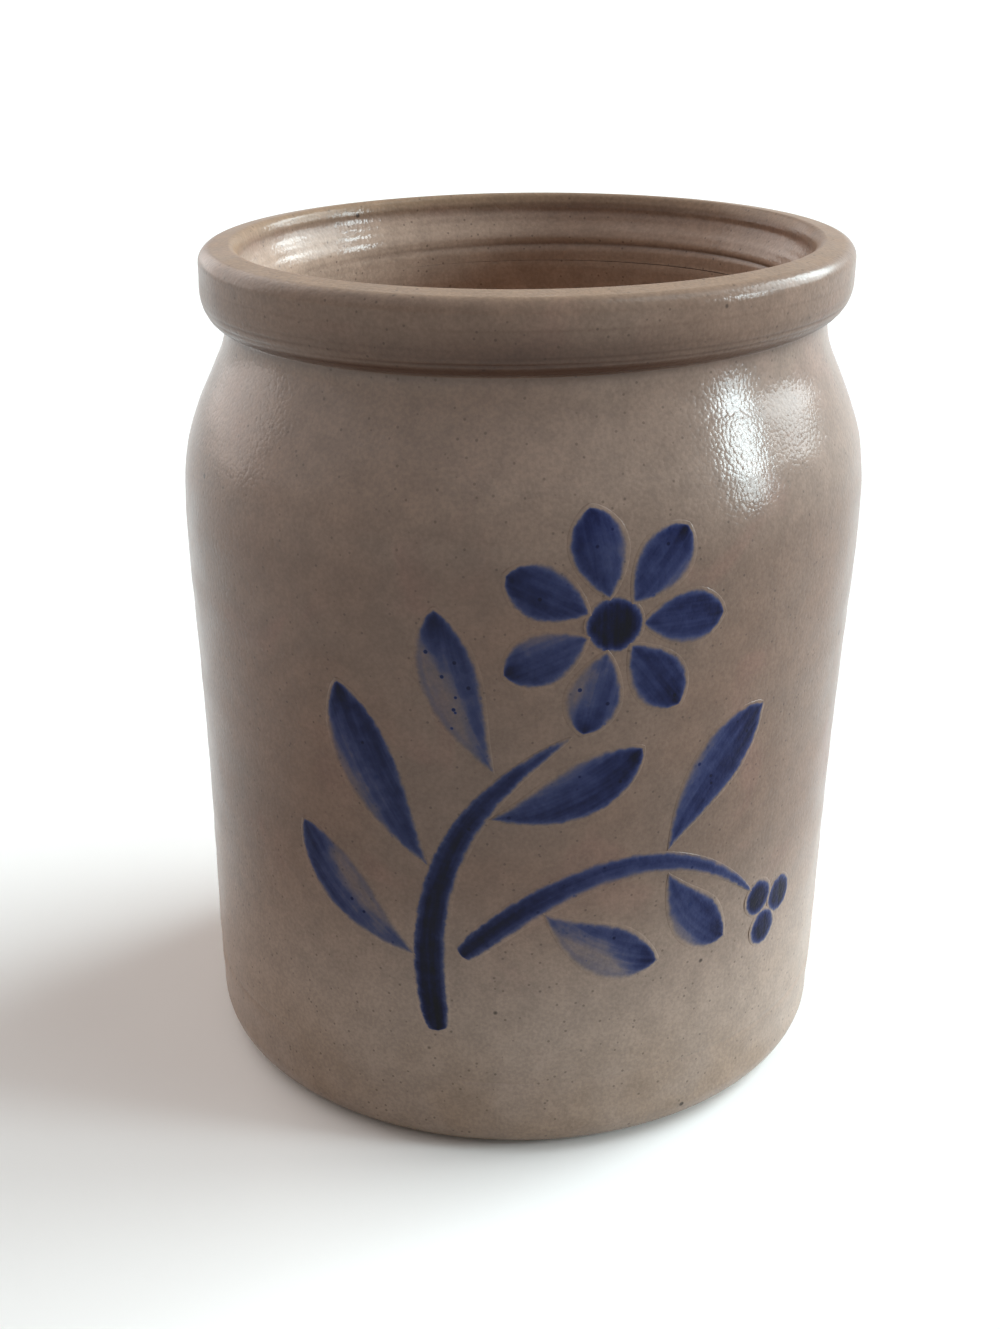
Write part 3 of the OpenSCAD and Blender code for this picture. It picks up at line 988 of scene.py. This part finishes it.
def slip_thickness(tree, place):
    """How thick the cobalt lies on the clay, with soft edges and the drag of the hairs."""
    grain = node(tree, "ShaderNodeAttribute", attribute_name="slip_grain").outputs["Vector"]
    ragged = fade(tree, cloud(tree, place, 1.6, 3, 0.6), 0.25, 0.75, -SLIP_RAGGED, SLIP_RAGGED)
    depth = calc(tree, "ADD", mask(tree, "slip_depth"), ragged)
    cover = fade(tree, depth, SLIP_OUT, 1.9)
    halo = fade(tree, depth, SLIP_OUT, 0.6, 0.0, HALO)
    along_hairs = {"Vector": grain, "Scale": (0.05, 0.75, 1.0)}
    stretched = node(tree, "ShaderNodeMapping", along_hairs).outputs[0]
    pulled = {"Vector": stretched, "Scale": 1.0, "Detail": 2.0}
    hairs = node(tree, "ShaderNodeTexNoise", pulled).outputs["Fac"]
    hairs = fade(tree, hairs, 0.3, 0.7, 0.72, 1.3)
    patchy = fade(tree, cloud(tree, place, 2.6, 4, 0.6), 0.3, 0.7, 0.72, 1.25)
    edge = calc(tree, "MULTIPLY", fade(tree, depth, 0.2, 1.6, 1.0, 0.0), EDGE_LOAD)
    load = calc(tree, "MAXIMUM", mask(tree, "slip_load"), LEAST_LOAD)
    load = calc(tree, "MULTIPLY", calc(tree, "MULTIPLY", load, hairs), patchy)
    load = calc(tree, "MULTIPLY", calc(tree, "ADD", load, edge), cover)
    specks = spots(tree, place, spacing=2.2, radius=0.42, chance=0.35)
    specks = calc(tree, "MULTIPLY", calc(tree, "MULTIPLY", specks, SPECK_LOAD), cover)
    return calc(tree, "ADD", calc(tree, "ADD", load, specks), halo)


def painted_colour(tree, thick, clay):
    """Cobalt clouds the clay with blue where it is thin and darkens it where it is thick."""
    wash = fade(tree, thick, 0.0, WASH_THICKNESS, 0.0, WASH_SHARE)
    body = blend(tree, wash, clay, WASH_BLUE)
    glass = node(tree, "ShaderNodeGamma", {"Color": COBALT_GLASS, "Gamma": thick}).outputs[0]
    return blend(tree, 1.0, body, glass, "MULTIPLY")


def glaze_bump(tree, place):
    """Orange peel of the salt glaze over fine throwing lines."""
    cell = node(tree, "ShaderNodeTexVoronoi", {"Vector": place, "Scale": 1 / (PEEL_SPACING * MM)})
    dome = calc(tree, "POWER", cell.outputs["Distance"], 2.0)
    swell = cloud(tree, place, SWELL_SIZE, 1.0, 0.5)
    level = {"Vector": place, "Scale": (0.03, 0.03, 1.0)}
    lines = cloud(tree, node(tree, "ShaderNodeMapping", level).outputs[0], LINE_SIZE, 3, 0.7)
    height = calc(tree, "MULTIPLY", dome, -PEEL_H)
    height = calc(tree, "ADD", height, calc(tree, "MULTIPLY", swell, SWELL_H))
    height = calc(tree, "ADD", height, calc(tree, "MULTIPLY", lines, LINE_H))
    bump = {"Height": height, "Strength": 1.0, "Distance": MM}
    return node(tree, "ShaderNodeBump", bump).outputs[0]


# How dull the surface is, added to a material's roughness
DRY_LIP = 0.16
DRY_BARE = 0.4
DULL_LOW = 0.14
SHINY_INSIDE = 0.12
UNEVEN_SHINE = (-0.06, 0.08)
GLAZE_IOR = 1.5
BODY_SPECULAR = 0.06
COAT_ROUGHNESS = 0.15
# The two clays: the body and the drier rolled rim
BODY_ROUGHNESS = 0.36
BODY_COAT = 0.52
RIM_ROUGHNESS = 0.34
RIM_COAT = 0.28


def dullness(tree, place, high, roughness):
    """Roughness of the glaze: dry on the lip, the foot and bare clay, and shiny inside."""
    dry = calc(tree, "MAXIMUM", mask(tree, "lip", DRY_LIP), mask(tree, "bare", DRY_BARE))
    low = fade(tree, high, *DULL_FADE, DULL_LOW, 0.0)
    patchy = fade(tree, cloud(tree, place, SHINE_BLOTCH, 3), 0.3, 0.7, *UNEVEN_SHINE)
    shine = calc(tree, "ADD", calc(tree, "ADD", dry, low), calc(tree, "ADD", patchy, roughness))
    return calc(tree, "SUBTRACT", shine, mask(tree, "inside", SHINY_INSIDE), clamp=True)


def clay_material(name, painted=False, roughness=BODY_ROUGHNESS, coat=BODY_COAT):
    """Salt-glazed clay, bare of paint or with cobalt slip under the glaze."""
    made, tree = start_material(name)
    place = node(tree, "ShaderNodeTexCoord").outputs["Object"]
    high = node(tree, "ShaderNodeSeparateXYZ", {0: place}).outputs[2]
    colour = clay_colour(tree, place, high)
    if painted:
        thick = calc(tree, "MULTIPLY", slip_thickness(tree, place), SLIP_DEPTH)
        colour = painted_colour(tree, thick, colour)
        coat = fade(tree, thick, 0.0, SLIP_COAT_THICKNESS, coat, SLIP_COAT)
    bump = glaze_bump(tree, place)
    shader = node(tree, "ShaderNodeBsdfPrincipled", {
        "Base Color": colour,
        "Roughness": dullness(tree, place, high, roughness),
        "Normal": bump,
        "IOR": GLAZE_IOR,
        "Specular IOR Level": BODY_SPECULAR,
        "Coat Weight": coat,
        "Coat Roughness": COAT_ROUGHNESS,
        "Coat Normal": bump,
    })
    tree.links.new(shader.outputs[0], node(tree, "ShaderNodeOutputMaterial").inputs[0])
    return made


# Stage, lights and camera

FLOOR_SIZE = 40.0
FLOOR_PALE = (0.66, 0.63, 0.595, 1.0)
FLOOR_WHITE = (0.935, 0.912, 0.902, 1.0)
WORLD_PALE = (0.060, 0.052, 0.046, 1.0)
WORLD_WHITE = (1.0, 1.0, 1.0, 1.0)
DAYLIGHT = (0.79, 0.945, 0.99)
ROOM_LIGHT = (0.85, 0.96, 0.98)
PLAIN_LIGHT = (1.0, 0.98, 0.97)
WARM_LIGHT = (1.0, 0.92, 0.86)
CEILING_LIGHT = (1.0, 0.96, 0.92)
# Lights: name, azimuth, elevation, strength, spread and colour
LIGHTS = (
    ("window", 82, 19, 1.6, 14, DAYLIGHT),
    ("window_sill", 80, 7, 0.6, 12, DAYLIGHT),
    ("window_high", 88, 60, 0.5, 30, DAYLIGHT),
    ("room", 113, 27, 3.0, 40, ROOM_LIGHT),
    ("window_back", 128, 26, 1.25, 22, DAYLIGHT),
    ("left_high", -105, 42, 0.6, 80, PLAIN_LIGHT),
    ("behind_left", -132, 18, 1.3, 60, WARM_LIGHT),
    ("above", 0, 80, 0.60, 110, CEILING_LIGHT),
)
# Where the lights face
LIGHTS_AIM = (0, 0, 0.08)
# Camera: place in metres, angles in degrees, and a focal length in pixels of the photo's long side
CAMERA_PLACE = (-0.00087, -0.3187, 0.20055)
CAMERA_PITCH = 22.43
CAMERA_YAW = -0.56
CAMERA_ROLL = 0.11
FOCAL_PX = 1800
FRAME_LONG_PX = 1329
SENSOR = 36.0
NEAREST = 0.01


def seen_or_lit(tree, lit, seen):
    """One colour for the view and the glaze's mirror images, another for the light given off."""
    path = node(tree, "ShaderNodeLightPath").outputs
    looking = calc(tree, "MAXIMUM", path["Is Camera Ray"], path["Is Glossy Ray"])
    looking = calc(tree, "MAXIMUM", looking, path["Is Transmission Ray"])
    return blend(tree, looking, lit, seen)


def floor_material():
    """A pale floor that shows white, with the shadow on it."""
    made, tree = start_material("floor_white")
    colour = seen_or_lit(tree, FLOOR_PALE, FLOOR_WHITE)
    shader = node(tree, "ShaderNodeBsdfDiffuse", {"Color": colour})
    tree.links.new(shader.outputs[0], node(tree, "ShaderNodeOutputMaterial").inputs[0])
    return made


def make_floor():
    mesh = bpy.data.meshes.new("floor")
    h = FLOOR_SIZE / 2
    mesh.from_pydata([(-h, -h, 0), (h, -h, 0), (h, h, 0), (-h, h, 0)], [], [(0, 1, 2, 3)])
    floor = bpy.data.objects.new("floor", mesh)
    bpy.context.scene.collection.objects.link(floor)
    mesh.materials.append(floor_material())


def make_world():
    world = bpy.data.worlds.new("studio")
    bpy.context.scene.world = world
    world.use_nodes = True
    tree = world.node_tree
    tree.nodes.clear()
    colour = seen_or_lit(tree, WORLD_PALE, WORLD_WHITE)
    back = node(tree, "ShaderNodeBackground", {"Color": colour, "Strength": 1.0})
    tree.links.new(back.outputs[0], node(tree, "ShaderNodeOutputWorld").inputs[0])


def towards(azimuth, elevation):
    """Unit vector from the crock towards a light: azimuth 0 is the front, 90 is +X."""
    a, e = math.radians(azimuth), math.radians(elevation)
    return Vector((math.sin(a) * math.cos(e), -math.cos(a) * math.cos(e), math.sin(e)))


def aim(obj, direction, distance, target):
    """Places a light and turns it to face the target."""
    obj.location = target + direction * distance
    obj.rotation_mode = "QUATERNION"
    obj.rotation_quaternion = direction.to_track_quat("Z", "Y")


def make_sun(name, azimuth, elevation, strength, spread, colour):
    lamp = bpy.data.lights.new(name, "SUN")
    lamp.energy = strength
    lamp.angle = math.radians(spread)
    lamp.color = colour
    obj = bpy.data.objects.new(name, lamp)
    bpy.context.scene.collection.objects.link(obj)
    aim(obj, towards(azimuth, elevation), 1.0, Vector(LIGHTS_AIM))


def make_lights():
    """A window and its room at the right, and soft light from the left and above."""
    for name, azimuth, elevation, strength, spread, colour in LIGHTS:
        make_sun(name, azimuth, elevation, strength, spread, colour)


def make_camera():
    """A camera at the photo's place and angle."""
    pitch = math.radians(CAMERA_PITCH)
    yaw = math.radians(CAMERA_YAW)
    roll = math.radians(CAMERA_ROLL)
    level = math.cos(pitch)
    forward = Vector((math.sin(yaw) * level, math.cos(yaw) * level, -math.sin(pitch)))
    right = forward.cross(Vector((0, 0, 1))).normalized()
    up = right.cross(forward)
    side = right * math.cos(roll) + up * math.sin(roll)
    top = up * math.cos(roll) - right * math.sin(roll)
    lens = bpy.data.cameras.new("camera")
    lens.sensor_width = SENSOR
    lens.lens = FOCAL_PX * SENSOR / FRAME_LONG_PX
    lens.clip_start = NEAREST
    camera = bpy.data.objects.new("camera", lens)
    bpy.context.scene.collection.objects.link(camera)
    turned_to = Matrix((side, top, -forward)).transposed().to_4x4()
    camera.matrix_world = Matrix.Translation(CAMERA_PLACE) @ turned_to
    bpy.context.scene.camera = camera


def dress(piece, slot, *nodes):
    """Puts a piece on the crock's body in place of its solids."""
    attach(piece, "root")
    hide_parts(*nodes)


def make_pot():
    """The base, the wall and the rolled rim. Gives back the wall."""
    tree = turning_tree()
    body = clay_material("salt_glazed_clay")
    lip = clay_material("rolled_rim_clay", roughness=RIM_ROUGHNESS, coat=RIM_COAT)
    base = turn_piece(tree, "base", base_outline(), False, body)
    wall = turn_piece(tree, "wall", wall_outline(), True, body)
    rim = turn_piece(tree, "rim", rim_outline(), True, lip)
    dress(base, "salt_glazed_clay", "base")
    dress(wall, "salt_glazed_clay", "wall")
    dress(rim, "toasted_rim_clay", "rolled_rim")
    return wall


def make_spray(wall):
    """Every stroke of the spray on the wall."""
    tree = brushing_tree()
    slip = clay_material("cobalt_under_glaze", painted=True)
    for number, (name, stroke) in enumerate(spray_strokes().items()):
        piece = brush_piece(tree, name, number, stroke, wall, slip)
        dress(piece, "cobalt_slip", name)


make_camera()
make_spray(make_pot())
make_floor()
make_world()
make_lights()
bpy.context.scene.view_settings.view_transform = "Standard"
